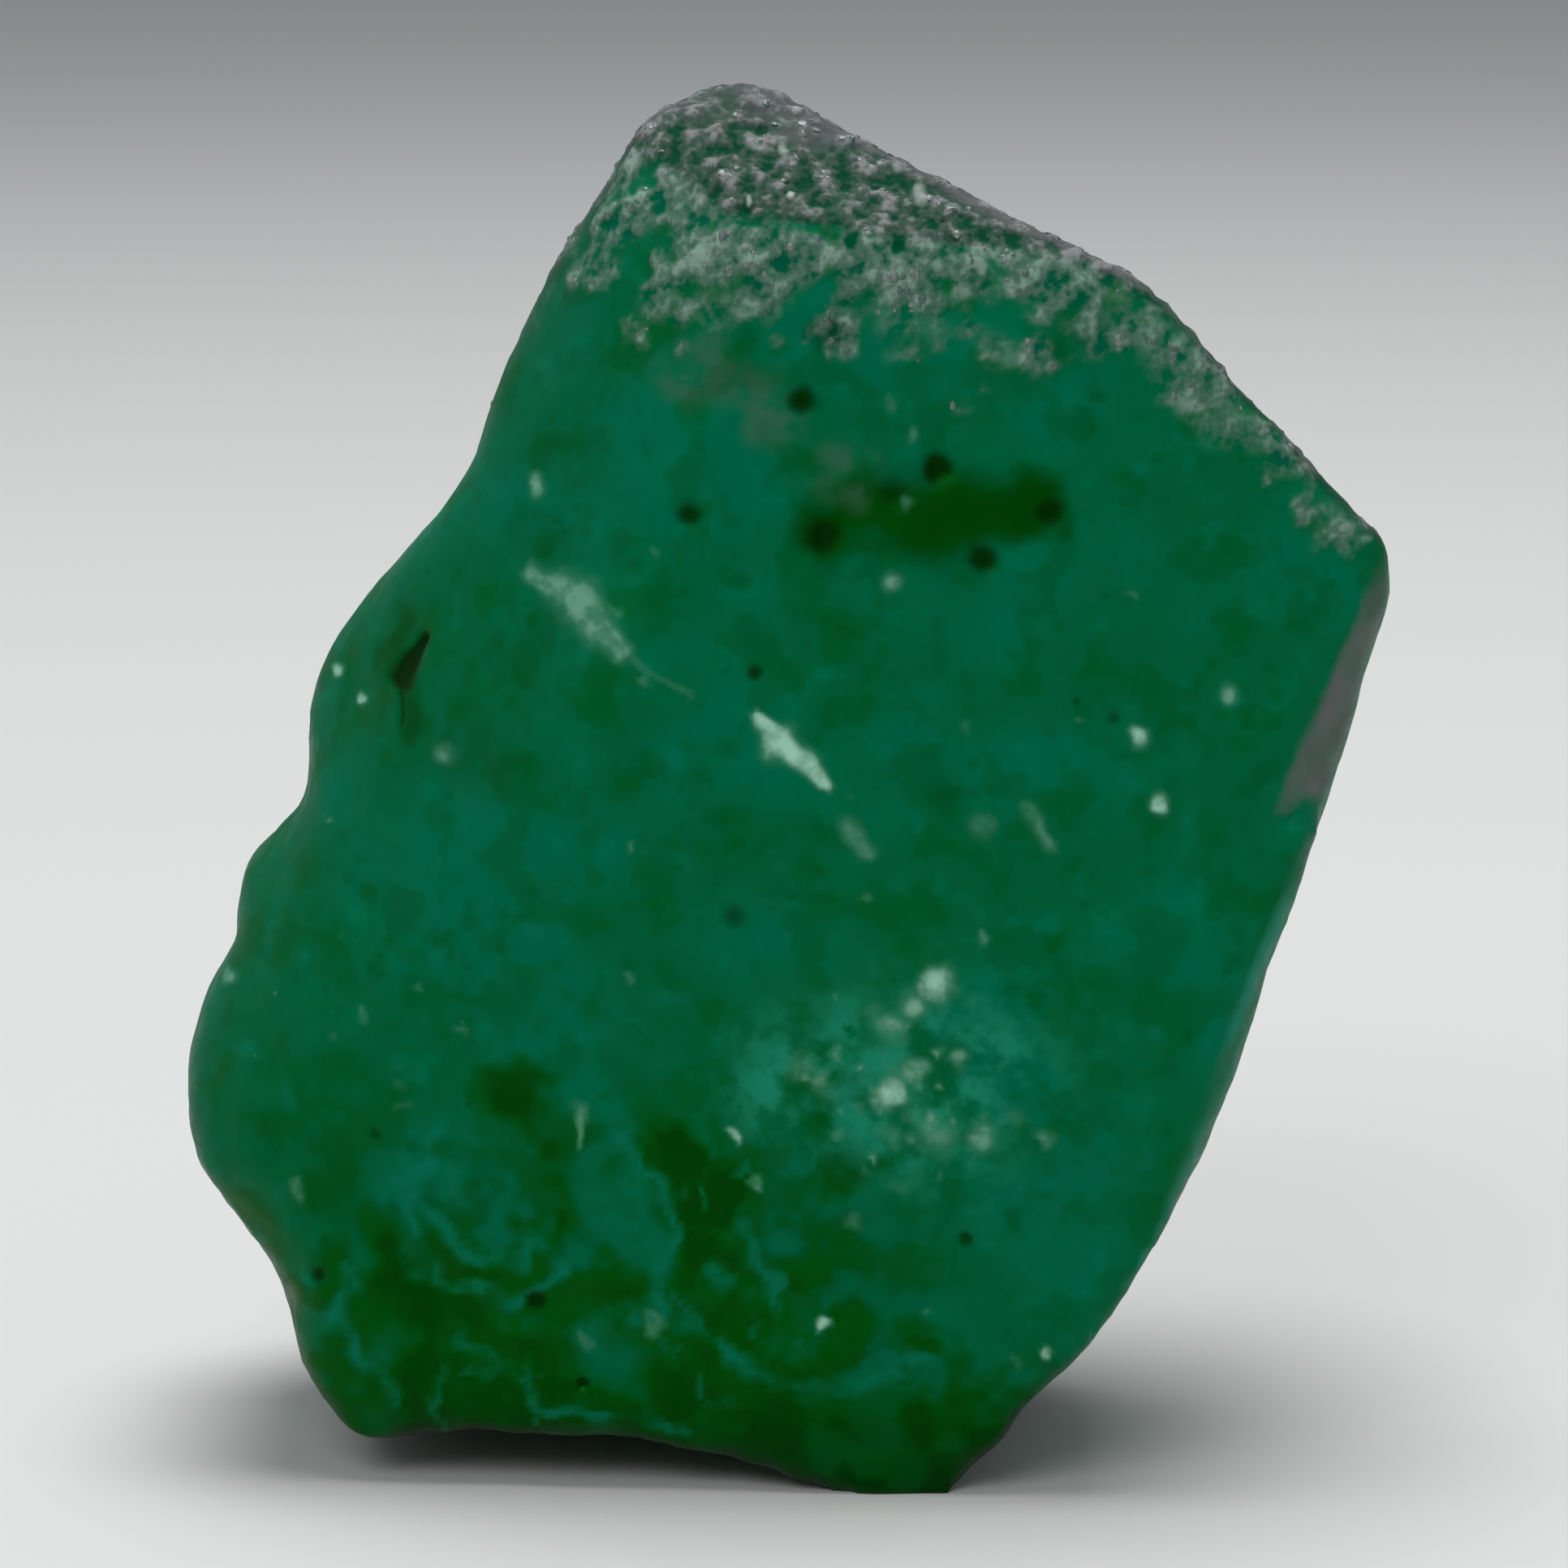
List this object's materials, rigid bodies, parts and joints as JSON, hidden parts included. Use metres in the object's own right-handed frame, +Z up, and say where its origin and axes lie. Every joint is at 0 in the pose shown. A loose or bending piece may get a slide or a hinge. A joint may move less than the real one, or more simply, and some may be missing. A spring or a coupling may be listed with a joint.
{
  "type": "raw emerald crystal",
  "caption": "Raw emerald crystal: a stubby leaning prism with a frosted end, a chipped left edge, pitted waxy faces and a broken, clearer foot that it stands on.",
  "frame": {"origin": "middle of the crystal's box, at the level of the broken foot that it stands on", "axes": "+Z up from the foot; the broad, best face looks along -Y; +X is the way the crystal's long axis leans"},
  "size_m": [0.0274, 0.0168, 0.0318],
  "materials": {
    "emerald": "saturated bluish green beryl, waxy and pitted, frosted white-grey at the end, clearer and darker at the foot",
    "inclusions": "pale veils and fracture flakes sealed in the crystal"
  },
  "bodies": {
    "root": {"emerald_crystal": "emerald"}
  },
  "joints": []
}
